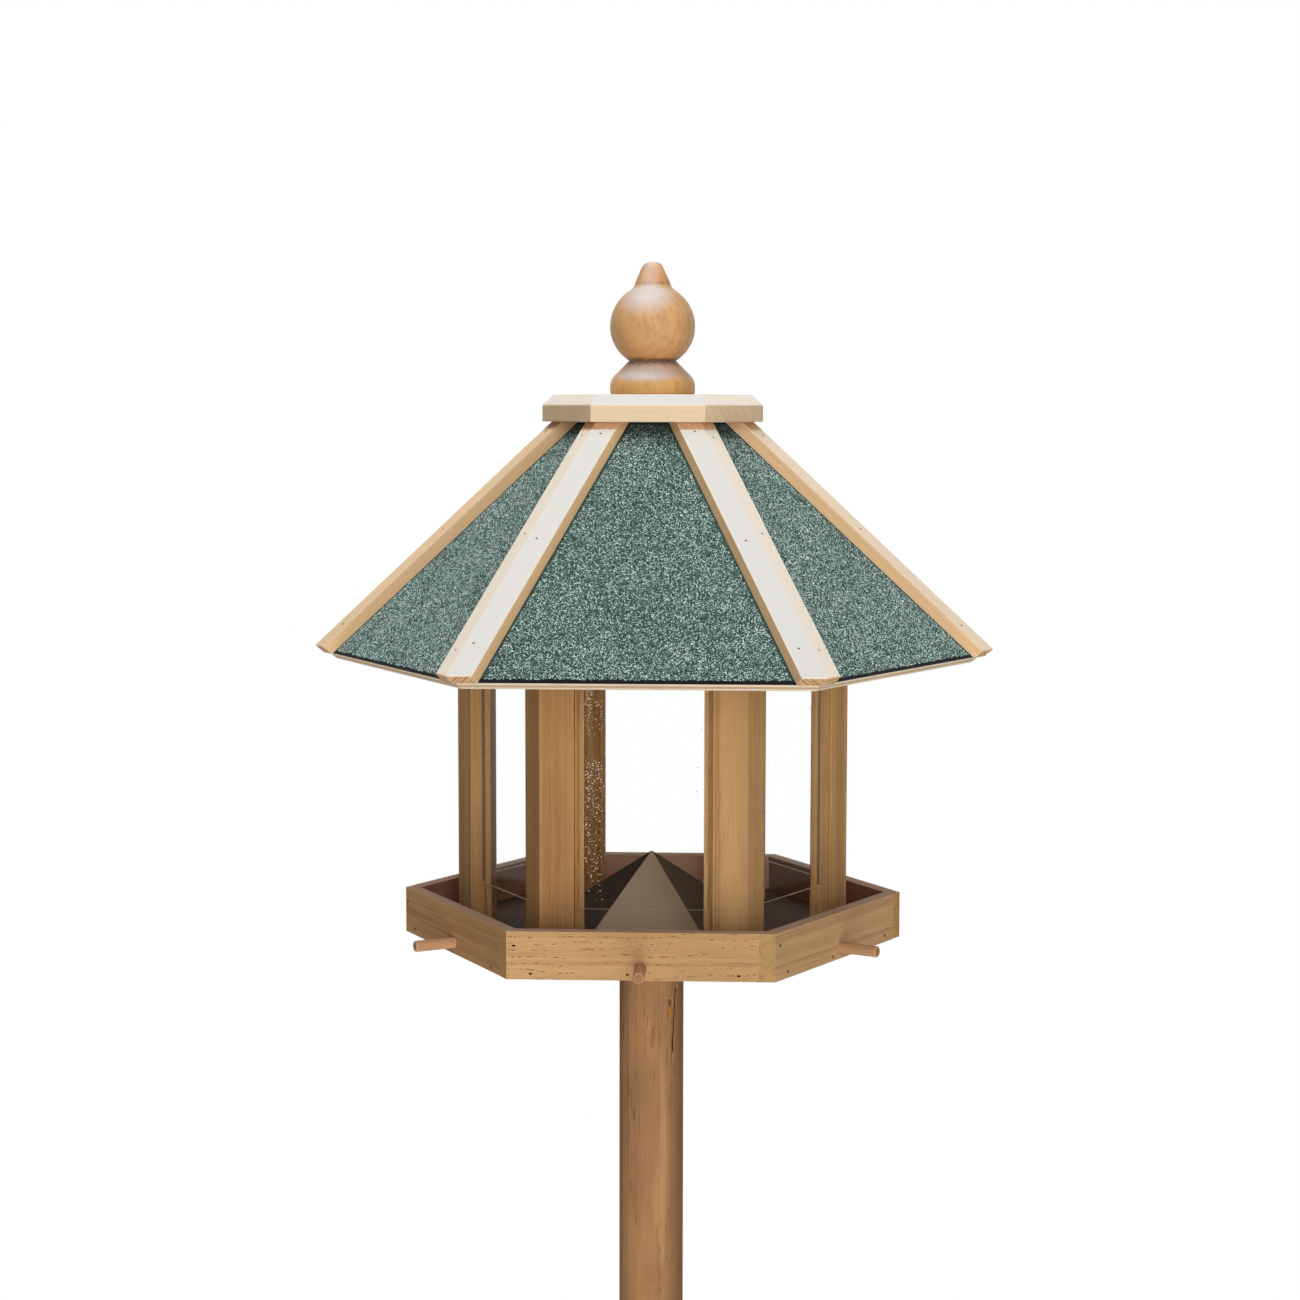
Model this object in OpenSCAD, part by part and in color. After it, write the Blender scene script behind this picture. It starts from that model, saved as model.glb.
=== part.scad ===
// Six-sided silo bird feeder on a round timber pole.
// Six sloping roof panels with mineral felt and hip battens stand on six
// rebated corner posts. Clear panes between the posts hold the seed, which
// slides down over a pyramid into a tray. The roof cap with its turned
// finial lifts off, so that the silo can be filled from above.
// Frame: +Z up, origin in the middle of the pole's foot at ground level,
// front of the tray towards -Y, corners on the X axis.

/* [Pole] */
// Diameter of the round pole
pole_d = 60; // [50:1:80]
// Height of the underside of the tray above the ground
pole_h = 875; // [600:5:1300]

/* [Tray] */
// Distance across two opposite outer faces of the tray
tray_af = 400; // [392:1:430]
// Height of the tray boards
tray_h = 42; // [38:1:60]
// Thickness of the tray boards
tray_t = 12.5; // [10:0.5:15]
// Thickness of the plywood tray floor
floor_t = 9; // [6:0.5:10]

/* [Perches] */
// Diameter of a perch dowel
perch_d = 10; // [6:1:12]
// Length of a perch outside its board
perch_out = 38; // [25:1:60]
// Depth of the blind hole that a perch is glued into
perch_seat = 9; // [6:0.5:9]
// Distance of a perch's axis below the top of the board
perch_drop = 31.5; // [20:0.5:31.5]

/* [Seed spreader] */
// Distance across two opposite base edges of the seed pyramid
spreader_af = 194; // [150:1:220]
// Height of the seed pyramid above the tray floor
spreader_h = 70; // [40:1:90]

/* [Corner posts] */
// Distance from the middle of the feeder to the outer edge of a post
post_r = 181; // [178:1:186]
// Width of each outer face of a post
post_face = 30; // [24:1:34]
// Depth of the rebate that a pane lies in
rebate_d = 12.5; // [8:0.5:14]
// Width of the lip that a pane lies against
lip_w = 8; // [6:0.5:10]
// Thickness of the lip
lip_t = 4.5; // [3:0.5:6]

/* [Silo panes] */
// Width of a clear pane
pane_w = 114; // [108:1:118]
// Thickness of a clear pane
pane_t = 2.5; // [2:0.5:4]
// Height of the lower edge of a pane above the top of the tray boards
pane_gap = 9.5; // [0:0.5:20]

/* [Roof] */
// Distance from the middle of the feeder to a corner of the eaves
eave_r = 301; // [280:1:310]
// Height of the eaves above the top of the tray boards
eave_h = 220.5; // [190:0.5:240]
// Slope of a roof panel from level
roof_pitch = 47.3; // [44:0.1:49]
// Thickness of the plywood roof panels
ply_t = 8.5; // [6:0.5:12]
// Thickness of the mineral felt
felt_t = 3; // [2:0.5:4]

/* [Hip battens] */
// Width of each of the two upper facets of a batten
batten_w = 20; // [14:1:24]
// Thickness of a batten
batten_t = 10; // [6:0.5:14]
// Distance that a batten reaches past the lower edge of the roof panels
batten_out = 3; // [0:0.5:8]

/* [Roof cap] */
// Height of the underside of the cap above the top of the tray boards
cap_seat = 435; // [425:0.5:440]
// Distance from the middle to a corner of the cap
cap_r = 101.5; // [98:0.5:108]
// Full thickness of the cap
cap_h = 24.5; // [20:0.5:30]
// Height of the upright edge of the cap, below its bevel
cap_edge = 15; // [10:0.5:18]
// Distance across two opposite faces of the locating block under the cap
block_af = 96; // [80:1:100]
// Thickness of the locating block
block_h = 22; // [15:1:30]

/* [Finial] */
// Diameter of the round foot of the finial
foot_d = 78; // [60:0.2:84]
// Height of the upright edge of the finial's foot
foot_h = 7.5; // [4:0.5:12]
// Radius of the shoulder above the foot's upright edge
foot_round = 14.5; // [6:0.5:16]
// How far the foot draws in at its bottom edge
foot_draw = 0.7; // [0:0.1:2]
// Diameter of the neck
neck_d = 43; // [30:1:50]
// Height of the neck above the cap
neck_h = 31; // [28:0.5:36]
// Diameter of the ball
ball_d = 78; // [60:1:84]
// Height of the middle of the ball above the cap
ball_h = 62; // [58:0.5:66]
// Diameter of the cone-shaped knob at its foot
knob_d = 33; // [24:1:38]
// Height of the knob's foot above the cap
knob_h = 100; // [96:0.5:104]
// Diameter of the knob where its tip starts to round
knob_tip_d = 17; // [12:1:22]
// Radius of the knob's rounded tip
knob_round = 5.5; // [3:0.5:8]
// Length of the hollow on either side of the corner between knob and ball
knob_flare = 3.5; // [1:0.5:6]
// Full height of the finial above the cap
finial_h = 120.5; // [112:0.5:126]

/* [Hidden] */
$fn = 96;
SIDES = 6;
STEP = 360 / SIDES;
REACH = 600;                                  // larger than any cut needs

rim_z = pole_h + tray_h;                      // top of the tray boards
floor_z = pole_h + floor_t;                   // top of the tray floor
tray_in_af = tray_af - 2 * tray_t;            // across the inside of the tray
eave_z = rim_z + eave_h;
eave_a = eave_r * cos(STEP / 2);              // middle to the middle of an eave
hip_lean = asin(sin(roof_pitch) * sin(STEP / 2));     // panel out of square to the hip's plane
batten_top = felt_t + batten_t;               // batten's upper facets above the plywood
batten_half = batten_w * cos(hip_lean);       // batten's side from the hip's plane
cap_z = rim_z + cap_seat;                     // the cap lies level on the battens
cap_play = 0.5;                               // panels and felt stop this far under the cap
cap_a = cap_r * cos(STEP / 2);
finial_z = cap_z + cap_h;
pane_face = post_r * cos(STEP / 2) - rebate_d;        // front of the lips
pane_z = rim_z + pane_gap;
pane_top_gap = 1.5;
perch_play = 0.1;
perch_tip = 1;
ball_r = ball_d / 2;
foot_r = foot_d / 2;

// One side of the feeder is drawn at the front, facing -Y, and turned into place
module on_side(k) {
    rotate([0, 0, STEP * (k - 1)]) children();
}

// One corner is drawn on the +X axis; corner k lies between sides k and k + 1
module on_corner(k) {
    rotate([0, 0, STEP * (k - 2)]) children();
}

// Roof coordinates of the front panel: X along the eave, Y up the slope, Z out of
// the roof, with the origin on the middle of the plywood's upper edge at the eave
module on_slope() {
    translate([0, -eave_a, eave_z]) rotate([roof_pitch, 0, 0]) children();
}

// Upright wedge that holds the front sixth of the feeder
module sixth() {
    half = REACH * tan(STEP / 2);
    linear_extrude(height = cap_z - cap_play)
        polygon([[0, 0], [-half, -REACH], [half, -REACH]]);
}

// Upright hexagonal block, given across its faces
module hex_block(across, height) {
    cylinder(d = across / cos(STEP / 2), h = height, $fn = SIDES);
}

// A layer of the front roof panel between two heights above the plywood
module roof_layer(from_n, to_n) {
    intersection() {
        on_slope() translate([-REACH, 0, from_n])
            cube([2 * REACH, REACH, to_n - from_n]);
        sixth();
    }
}

module pole() {
    color("peru") cylinder(d = pole_d, h = pole_h);
}

module tray_floor() {
    color("saddlebrown") translate([0, 0, pole_h]) hex_block(tray_in_af, floor_t);
}

// Each board's right end butts on the inside of the next one, whose own end shows
module tray_board(k) {
    a = tray_af / 2;
    half = a * tan(STEP / 2);
    slant = tray_t * tan(STEP / 2);
    color("burlywood") on_side(k) difference() {
        translate([0, 0, pole_h]) linear_extrude(height = tray_h) polygon([
            [-half, -a],
            [half - 2 * slant, -a],
            [half - slant, -a + tray_t],
            [-half - slant, -a + tray_t]
        ]);
        translate([0, -a + perch_seat, rim_z - perch_drop]) rotate([90, 0, 0])
            cylinder(d = perch_d + 2 * perch_play, h = 2 * perch_seat);
    }
}

// Dowels with a small chamfer round the tip
module perches() {
    r = perch_d / 2;
    long = perch_seat + perch_out;
    color("burlywood") for (k = [1 : SIDES]) on_side(k)
        translate([0, -tray_af / 2 + perch_seat, rim_z - perch_drop]) rotate([90, 0, 0])
            rotate_extrude() polygon([
                [0, 0], [r, 0], [r, long - perch_tip], [r - perch_tip, long], [0, long]
            ]);
}

module seed_pyramid() {
    color("tan") translate([0, 0, floor_z])
        cylinder(d1 = spreader_af / cos(STEP / 2), d2 = 0, h = spreader_h, $fn = SIDES);
}

// Point on a post's section: u along the outer face from its edge, v into the timber
function post_point(u, v) = [
    post_r - u * sin(STEP / 2) - v * cos(STEP / 2),
    u * cos(STEP / 2) - v * sin(STEP / 2)
];

// Solid post with two outer faces, a rebate and a lip each side and a flat back,
// cut at the top to the underside of its two roof panels
module post(k) {
    half = [
        post_point(post_face, 0),
        post_point(post_face, rebate_d),
        post_point(post_face + lip_w, rebate_d),
        post_point(post_face + lip_w, rebate_d + lip_t)
    ];
    other = [for (i = [3 : -1 : 0]) [half[i].x, -half[i].y]];
    color("peru") on_corner(k) difference() {
        translate([0, 0, floor_z]) linear_extrude(height = REACH)
            polygon(concat([[post_r, 0]], half, other));
        for (turn = [1, 2]) on_side(turn + 1) on_slope()
            translate([-REACH, -REACH, -ply_t]) cube([2 * REACH, 3 * REACH, REACH]);
    }
}

module pane(k) {
    top = eave_z + (eave_a - pane_face - pane_t) * tan(roof_pitch)
        - ply_t / cos(roof_pitch) - pane_top_gap;
    color("lightcyan", 0.4) on_side(k)
        translate([-pane_w / 2, -pane_face - pane_t, pane_z])
            cube([pane_w, pane_t, top - pane_z]);
}

module roof_panel(k) {
    color("wheat") on_side(k) roof_layer(-ply_t, 0);
}

module roof_felt(k) {
    color("cadetblue") on_side(k) roof_layer(0, felt_t);
}

// Room for a batten as the panel on one side of its hip bounds it: below the
// batten's upper facet and not far past the eave
module batten_room() {
    on_slope() translate([-REACH, -batten_out, -REACH])
        cube([2 * REACH, 2 * REACH, REACH + batten_top]);
}

// Everything under the upper face of the felt of one panel
module under_felt() {
    on_slope() translate([-REACH, -REACH, felt_t - 2 * REACH]) cube(2 * REACH);
}

// The same shape for the panels on both sides of a hip, kept where they agree
module both_sides() {
    intersection() {
        children();
        rotate([0, 0, STEP]) mirror([1, 0, 0]) children();
    }
}

// V-shaped batten that rides over the hip: sides parallel to the hip's plane, the
// foot mitred along both eaves, and the top cut level as a seat for the cap
module hip_batten(k) {
    color("cornsilk") on_side(k) difference() {
        intersection() {
            both_sides() batten_room();
            rotate([0, 0, -STEP]) translate([0, -batten_half, 0])
                cube([REACH, 2 * batten_half, cap_z]);
        }
        both_sides() under_felt();
    }
}

// Hexagonal cap with an upright edge and a bevel as steep as the roof
module roof_cap() {
    color("cornsilk") translate([0, 0, cap_z]) difference() {
        hex_block(2 * cap_a, cap_h);
        for (k = [1 : SIDES]) on_side(k)
            translate([-REACH, -cap_a, cap_edge]) rotate([roof_pitch, 0, 0])
                cube([2 * REACH, REACH, REACH]);
    }
}

module cap_block() {
    color("wheat") translate([0, 0, cap_z - block_h]) hex_block(block_af, block_h);
}

// Point of an upright ellipse about the finial's axis, half_w wide and half_h high
function ring_point(half_w, half_h, mid_h, a) = [half_w * cos(a), mid_h + half_h * sin(a)];

// Point of a smooth curve between two ends, drawn towards a corner
function curve_point(start, corner, end, t) =
    (1 - t) * (1 - t) * start + 2 * t * (1 - t) * corner + t * t * end;

// Turned finial: foot with a rounded shoulder, cone to a sharp neck, ball, and a cone-shaped
// knob that flares out into the ball. The ball is drawn in a little towards the neck.
module finial() {
    neck_a = acos(neck_d / 2 / ball_r);
    low_h = (ball_h - neck_h) / sin(neck_a);
    cone_a = atan((knob_d - knob_tip_d) / 2 / (finial_h - knob_round / 2 - knob_h));
    knob_foot = [knob_d / 2, knob_h];
    corner = knob_foot + knob_flare * [sin(cone_a), -cos(cone_a)];
    ball_a = atan2(corner[1] - ball_h, corner[0]) - knob_flare / ball_r * 180 / PI;
    ball_end = ring_point(ball_r, ball_r, ball_h, ball_a);
    tip_flat = knob_tip_d / 2 - knob_round * cos(cone_a);
    profile = concat(
        [[0, 0], [foot_r - foot_draw, 0], [foot_r, foot_h / 2]],
        [for (a = [0 : 9 : 45]) [
            foot_r + foot_round * (cos(a) - 1),
            foot_h + foot_round * sin(a)
        ]],
        [for (i = [0 : 8]) ring_point(ball_r, low_h, ball_h, neck_a * (i / 8 - 1))],
        [for (i = [1 : 8]) ring_point(ball_r, ball_r, ball_h, ball_a * i / 8)],
        [for (i = [1 : 4]) curve_point(ball_end, corner, knob_foot, i / 4)],
        [for (i = [0 : 4]) let (a = cone_a + (90 - cone_a) * i / 4) [
            tip_flat + knob_round * cos(a),
            finial_h - knob_round + knob_round * sin(a)
        ]],
        [[0, finial_h]]
    );
    color("burlywood") translate([0, 0, finial_z]) rotate_extrude() polygon(profile);
}

pole();
tray_floor();
for (k = [1 : SIDES]) tray_board(k);
perches();
seed_pyramid();
for (k = [1 : SIDES]) post(k);
for (k = [1 : SIDES]) pane(k);
for (k = [1 : SIDES]) roof_panel(k);
for (k = [1 : SIDES]) roof_felt(k);
for (k = [1 : SIDES]) hip_batten(k);
roof_cap();
cap_block();
finial();
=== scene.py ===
import bmesh
import bpy
import math
from mathutils import Matrix, Vector


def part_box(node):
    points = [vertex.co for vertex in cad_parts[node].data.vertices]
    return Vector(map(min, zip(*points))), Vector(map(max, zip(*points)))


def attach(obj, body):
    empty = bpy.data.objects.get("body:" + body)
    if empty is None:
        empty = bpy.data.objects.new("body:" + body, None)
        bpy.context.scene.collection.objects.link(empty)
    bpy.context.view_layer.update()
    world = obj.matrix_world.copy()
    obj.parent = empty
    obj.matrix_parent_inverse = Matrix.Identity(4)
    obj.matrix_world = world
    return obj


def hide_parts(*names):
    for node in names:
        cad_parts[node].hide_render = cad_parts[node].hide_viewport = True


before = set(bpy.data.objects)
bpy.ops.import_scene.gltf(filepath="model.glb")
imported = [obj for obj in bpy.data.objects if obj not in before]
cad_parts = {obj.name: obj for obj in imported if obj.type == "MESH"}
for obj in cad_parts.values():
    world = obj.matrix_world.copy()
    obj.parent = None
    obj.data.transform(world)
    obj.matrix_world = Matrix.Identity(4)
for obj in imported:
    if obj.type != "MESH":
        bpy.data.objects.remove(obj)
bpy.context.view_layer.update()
sides = range(1, 7)
sideAngle = math.radians(60)
upAxis = Vector((0, 0, 1))

# heights and directions that the pieces share; the heights are read from the frame
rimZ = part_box("tray_board_1")[1].z
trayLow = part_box("tray_board_1")[0].z
capLow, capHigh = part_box("roof_cap")
paintedLightWay = Vector((0.05, -0.45, 0.9)).normalized()  # the way that painted highlights face: up and a little to the front, towards the main light
flat, deep, zero = Vector((1, 0, 0)), Vector((0, 1, 0)), Vector((0, 0, 0))

socketKinds = {"vector": "NodeSocketVector", "number": "NodeSocketFloat", "count": "NodeSocketInt",
               "finish": "NodeSocketMaterial", "mesh": "NodeSocketGeometry"}


def newObject(name, data):
    obj = bpy.data.objects.new(name, data)
    bpy.context.scene.collection.objects.link(obj)
    return obj


class Wires:
    # short hands for a node tree: most add a node and give back its output

    def __init__(self, tree):
        self.tree = tree

    def plug(self, value, socket):
        if isinstance(value, bpy.types.NodeSocket):
            self.tree.links.new(value, socket)
        elif value is not None:
            socket.default_value = value

    def node(self, kind, values=None, **settings):
        # values are plugged in by a socket's label or number
        node = self.tree.nodes.new(kind)
        for label, setting in settings.items():
            setattr(node, label, setting)
        for label, value in (values or {}).items():
            self.plug(value, node.inputs[label])
        return node

    def math(self, operation, *values, clamp=False):
        values = dict(enumerate(values))
        return self.node("ShaderNodeMath", values, operation=operation, use_clamp=clamp).outputs[0]

    def plus(self, a, b, clamp=False):
        return self.math("ADD", a, b, clamp=clamp)

    def minus(self, a, b):
        return self.math("SUBTRACT", a, b)

    def times(self, a, b, clamp=False):
        return self.math("MULTIPLY", a, b, clamp=clamp)

    def over(self, a, b, clamp=False):
        return self.math("DIVIDE", a, b, clamp=clamp)

    def apart(self, a, b):
        # how far two values are apart
        return self.math("ABSOLUTE", self.minus(a, b))

    def vector(self, operation, *values):
        # the vector operations that give a number
        values = dict(enumerate(values))
        return self.node("ShaderNodeVectorMath", values, operation=operation).outputs["Value"]

    def split(self, value):
        return self.node("ShaderNodeSeparateXYZ", {0: value}).outputs

    def join(self, x, y, z):
        return self.node("ShaderNodeCombineXYZ", {0: x, 1: y, 2: z}).outputs[0]

    def noise(self, vector, scale, detail=2.0, rough=0.5):
        values = {"Vector": vector, "Scale": scale, "Detail": detail, "Roughness": rough}
        return self.node("ShaderNodeTexNoise", values).outputs["Fac"]

    def ramp(self, value, low, high, toLow=0.0, toHigh=1.0, smooth=True):
        values = dict(enumerate((value, low, high, toLow, toHigh)))
        kind = "SMOOTHSTEP" if smooth else "LINEAR"
        return self.node("ShaderNodeMapRange", values, interpolation_type=kind).outputs[0]

    def blend(self, factor, a, b, kind="MIX"):
        # a tone of three numbers is a colour on screen
        a, b = [linear(*tone) if isinstance(tone, tuple) and len(tone) == 3 else tone for tone in (a, b)]
        values = {0: factor, 6: a, 7: b}
        return self.node("ShaderNodeMix", values, data_type="RGBA", blend_type=kind).outputs[2]

    def stain(self, mask, share, colour, tone, kind="MIX"):
        # lays a tone over a colour where a mask says, by a share
        return self.blend(self.times(mask, share), colour, tone, kind)

    def attribute(self, name, output="Vector"):
        return self.node("ShaderNodeAttribute", attribute_name=name).outputs[output]

    def mask(self, name):
        return self.attribute(name, "Fac")

    def place(self):
        return self.node("ShaderNodeTexCoord").outputs["Object"]

    def group(self, tree, **values):
        return self.node("ShaderNodeGroup", values, node_tree=tree).outputs

    def coat(self, shader, colour, height, distance):
        # gives a shader its colour and its relief
        self.plug(colour, shader.inputs["Base Color"])
        bump = self.node("ShaderNodeBump", {"Height": height, "Distance": distance})
        self.plug(bump.outputs[0], shader.inputs["Normal"])

    def overlay(self, solid, layers):
        # lays shaders over one another, each by its share, as the material's surface
        for share, layer in layers:
            solid = self.node("ShaderNodeMixShader", {0: share, 1: solid, 2: layer}).outputs[0]
        self.plug(solid, self.tree.nodes["Material Output"].inputs["Surface"])


def newTree(kind, name, inputs, outputs):
    # an empty node tree with its sockets listed by kind; gives back its short hands, inputs and outputs
    tree = bpy.data.node_groups.new(name, kind)
    for way, sockets in (("INPUT", inputs), ("OUTPUT", outputs)):
        for socketKind, labels in sockets.items():
            for label in labels:
                tree.interface.new_socket(label, in_out=way, socket_type=socketKinds[socketKind])
    return Wires(tree), tree.nodes.new("NodeGroupInput").outputs, tree.nodes.new("NodeGroupOutput").inputs


def linear(red, green, blue):
    # a colour given as 0 to 255 on screen, turned into the light values that shaders use
    parts = [v / 255 for v in (red, green, blue)]
    return (*[v / 12.92 if v <= 0.04045 else ((v + 0.055) / 1.055) ** 2.4 for v in parts], 1.0)


def newMaterial(name, roughness=0.6, ior=1.45, gloss=0.25, colour=None):
    material = bpy.data.materials.new(name)
    material.use_nodes = True
    w, shader = Wires(material.node_tree), material.node_tree.nodes["Principled BSDF"]
    values = {"Roughness": roughness, "IOR": ior, "Specular IOR Level": gloss, "Base Color": colour}
    for label, value in values.items():
        w.plug(value, shader.inputs[label])
    return material, w, shader


def toneRamp(w, value, stops):
    # a colour looked up from stops of place and colour
    node = w.node("ShaderNodeValToRGB", {0: value})
    bar = node.color_ramp.elements
    for element, (position, colour) in zip((bar[0], bar[1]), (stops[0], stops[-1])):
        element.position, element.color = position, linear(*colour)
    for position, colour in stops[1:-1]:
        bar.new(position).color = linear(*colour)
    return node.outputs[0]


# wood figure, worked out in a piece's own grain coordinates: X runs along the fibres
def makeTimberFigure():
    sizes = ["RingGap", "PithY", "PithZ", "Warp", "FibreScale"]
    w, ins, outs = newTree("ShaderNodeTree", "timberFigure", {"vector": ["Grain"], "number": sizes},
                           {"number": ["Rings", "Fibre", "Dashes", "Cloud"]})
    x, y, z = w.split(ins["Grain"])
    sway = w.noise(w.join(w.times(x, 0.12), y, z), 22.0, 3.0, 0.55)
    y2 = w.minus(y, ins["PithY"])
    z2 = w.minus(z, ins["PithZ"])
    away = w.math("SQRT", w.plus(w.times(y2, y2), w.times(z2, z2)))
    away = w.plus(away, w.times(sway, ins["Warp"]))
    turns = w.over(away, ins["RingGap"])
    # wet and dry years: the gaps between rings differ, and so does how dark each ring is
    years = w.noise(w.join(w.times(turns, 0.5), 0.0, 0.0), 1.0, 1.0)
    turns = w.plus(turns, w.times(years, 2.2))
    saw = w.math("FRACT", turns)
    late = w.times(w.ramp(saw, 0.25, 0.86), w.ramp(saw, 0.9, 1.0, 1.0, 0.0))
    year = w.node("ShaderNodeTexWhiteNoise", {"W": w.math("FLOOR", turns)}, noise_dimensions="1D")
    strength = w.ramp(year.outputs["Value"], 0.0, 1.0, 0.3, 1.0, smooth=False)
    w.plug(w.times(late, strength), outs["Rings"])
    fibre = w.join(w.times(x, 0.03), y, z)
    w.plug(w.noise(fibre, ins["FibreScale"], 4.0, 0.6), outs["Fibre"])
    short = w.join(w.times(x, 0.075), y, z)
    dashes = w.noise(short, w.times(ins["FibreScale"], 0.9), 1.0, 0.5)
    groups = w.noise(w.join(w.times(x, 0.3), y, z), 60.0, 2.0)
    dashes = w.times(w.ramp(dashes, 0.64, 0.7), w.ramp(groups, 0.42, 0.56))
    w.plug(dashes, outs["Dashes"])
    w.plug(w.noise(w.join(w.times(x, 0.35), y, z), 16.0, 3.0, 0.55), outs["Cloud"])
    return w.tree


timberFigure = makeTimberFigure()


# short dark pores that lie along the fibres, in loose rows
def makePoreRows():
    w, ins, outs = newTree("ShaderNodeTree", "poreRows",
                           {"vector": ["Grain"], "number": ["RowGap", "PoreGap"]}, {"number": ["Pores"]})
    x, y, z = w.split(ins["Grain"])
    wave = w.noise(w.join(w.times(x, 9.0), w.times(y, 20.0), z), 1.0, 2.0)
    jitter = w.noise(w.join(w.times(x, 300.0), 0.0, 0.0), 1.0, 1.0)
    wave = w.plus(w.times(wave, 0.02), w.times(jitter, 0.003))
    rise = w.minus(wave, w.times(x, 0.03))
    level = w.plus(w.plus(y, w.times(z, 0.8)), rise)
    level = w.over(level, ins["RowGap"])
    row = w.math("FLOOR", level)
    inRow = w.ramp(w.apart(w.math("FRACT", level), 0.5), 0.03, 0.09, 1.0, 0.0)
    along = w.join(w.over(x, ins["PoreGap"]), w.times(row, 5.7), 0.0)
    dashes = w.ramp(w.noise(along, 1.0, 2.0, 0.7), 0.5, 0.58)
    groups = w.noise(w.join(w.times(x, 14.0), w.times(y, 45.0), z), 1.0, 1.0)
    dashes = w.times(dashes, inRow)
    w.plug(w.times(dashes, w.ramp(groups, 0.4, 0.5)), outs["Pores"])
    return w.tree


poreRows = makePoreRows()


def timberColour(w, look, grain):
    # ring colours, fibre streaks and short pores, mixed to one colour
    rings, fibre, dashes, cloud = w.group(
        timberFigure, Grain=grain, RingGap=look["ringGap"], PithY=look["pith"][0],
        PithZ=look["pith"][1], Warp=look["warp"], FibreScale=look["fibreScale"],
    )
    endGrain, pore = w.mask("endGrain"), look["pore"]
    calm = w.math("MULTIPLY_ADD", endGrain, -look["endCalm"] * look["ringShare"], look["ringShare"])
    colour = w.stain(rings, calm, look["pale"], look["dark"])
    streak = w.ramp(fibre, 0.25, 0.75, 1 + look["fibreShare"] * 0.8, 1 - look["fibreShare"], smooth=False)
    patch = w.ramp(cloud, 0.3, 0.7, 1 - look["cloudShare"], 1 + look["cloudShare"] * 0.5)
    shade = w.times(streak, patch)
    colour = w.blend(1.0, colour, w.join(shade, shade, shade), "MULTIPLY")
    colour = w.stain(dashes, look["dashShare"], colour, pore)
    if "rowGap" in look:
        pores = w.group(poreRows, Grain=grain, RowGap=look["rowGap"], PoreGap=look["poreGap"])[0]
        pores = w.times(pores, w.minus(0.8, endGrain), clamp=True)
        colour = w.blend(pores, colour, pore)
    if "lineScale" in look:
        # thin dark lines that run on along the fibres
        x, y, z = w.split(grain)
        thread = w.noise(w.join(w.times(x, 0.006), y, z), look["lineScale"], 2.0)
        thin = w.ramp(w.apart(thread, 0.5), 0.004, 0.03, look["lineShare"], 0.0)
        colour = w.blend(thin, colour, pore)
    colour = w.stain(rings, w.times(endGrain, look["endRing"]), colour, pore)
    relief = w.minus(w.times(rings, -0.4), w.times(dashes, 0.8))
    return colour, w.minus(relief, fibre), fibre, cloud


def turnedColour(w, look, colour):
    # a turned piece: bands of tone up its height, dark blotches, and a dark ring at the neck
    place = w.place()
    x, y, z = w.split(place)
    rise = w.over(w.minus(z, capHigh.z), look["bandHeight"])
    rough = w.times(w.minus(w.noise(place, 260.0), 0.5), 0.016)
    colour = w.blend(look["bandShare"], colour, toneRamp(w, w.plus(rise, rough), look["bands"]))
    blotch = w.noise(w.join(x, y, w.times(z, 0.4)), 150.0, 3.0, 0.6)
    colour = w.blend(w.ramp(blotch, 0.48, 0.66, 0.0, look["blotchShare"]), colour, look["pore"])
    ring = w.ramp(w.apart(rise, look["neckAt"]), 0.006, 0.03, 1.0, 0.0)
    broken = w.ramp(w.noise(place, 450.0, 2.0), 0.35, 0.6, 0.5, 0.95)
    return w.stain(ring, broken, colour, look["neckTone"])


def bleachedColour(w, look, colour, fibre):
    # painted highlight: faces turned towards the light are painted pale; just under the cap a batten gets a
    # painted shadow, a darker streaked strip
    paintedLightMask = w.times(w.mask("paintedLightMask"), look["bleach"])
    # painted shadow: just below the cap the batten is painted a darker, streaked colour and gets no painted
    # highlight
    if "kept" in look:
        streaks = w.times(w.minus(fibre, 0.5), look["keptStreak"])
        low, high = look["keptBelowCap"]
        kept = w.ramp(w.plus(w.split(w.place())[2], streaks), capLow.z - low, capLow.z - high)
        paintedLightMask = w.times(paintedLightMask, w.minus(1.0, kept))
        colour = w.stain(kept, look["keptShare"], colour, look["kept"])
    if "cream" in look:
        colour = w.blend(w.ramp(paintedLightMask, 0.12, 0.5, 0.0, 0.9), colour, look["cream"])
        paintedLightMask = w.ramp(paintedLightMask, 0.68, 0.92)
    return w.blend(paintedLightMask, colour, look["bleached"])


def makeTimber(name, look):
    # a sawn or turned finish, with darker end grain, painted highlights on faces turned towards the light,
    # and rubbed edges
    material, w, shader = newMaterial(name, gloss=look["gloss"])
    colour, relief, fibre, cloud = timberColour(w, look, w.attribute("grain"))
    if "bands" in look:
        colour = turnedColour(w, look, colour)
    if look["bleach"]:
        colour = bleachedColour(w, look, colour, fibre)
    for part in ("flank", "inner"):
        if part + "Tone" in look:
            colour = w.stain(w.mask(part), look[part + "Share"], colour, look[part + "Tone"])
    if "crackCore" in look:
        crack = w.mask("crack")
        colour = w.blend(w.ramp(crack, 0.2, 0.75, 0.0, 0.6), colour, look["crackHalo"])
        colour = w.blend(w.ramp(crack, 0.72, 0.88), colour, look["crackCore"])
        colour = w.blend(w.mask("resin"), colour, look["resin"])
    colour = w.stain(w.mask("endGrain"), look["endShare"], colour, look["endTone"], "MULTIPLY")
    worn = w.times(w.mask("edge"), w.ramp(cloud, 0.3, 0.6, 0.4, 1.0))
    colour = w.stain(worn, look["edgeShare"], colour, look["edgeTone"])
    w.coat(shader, colour, relief, look["relief"])
    rough = w.ramp(fibre, 0.3, 0.7, look["rough"] - 0.08, look["rough"] + 0.08, smooth=False)
    w.plug(rough, shader.inputs["Roughness"])
    return material


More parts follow.
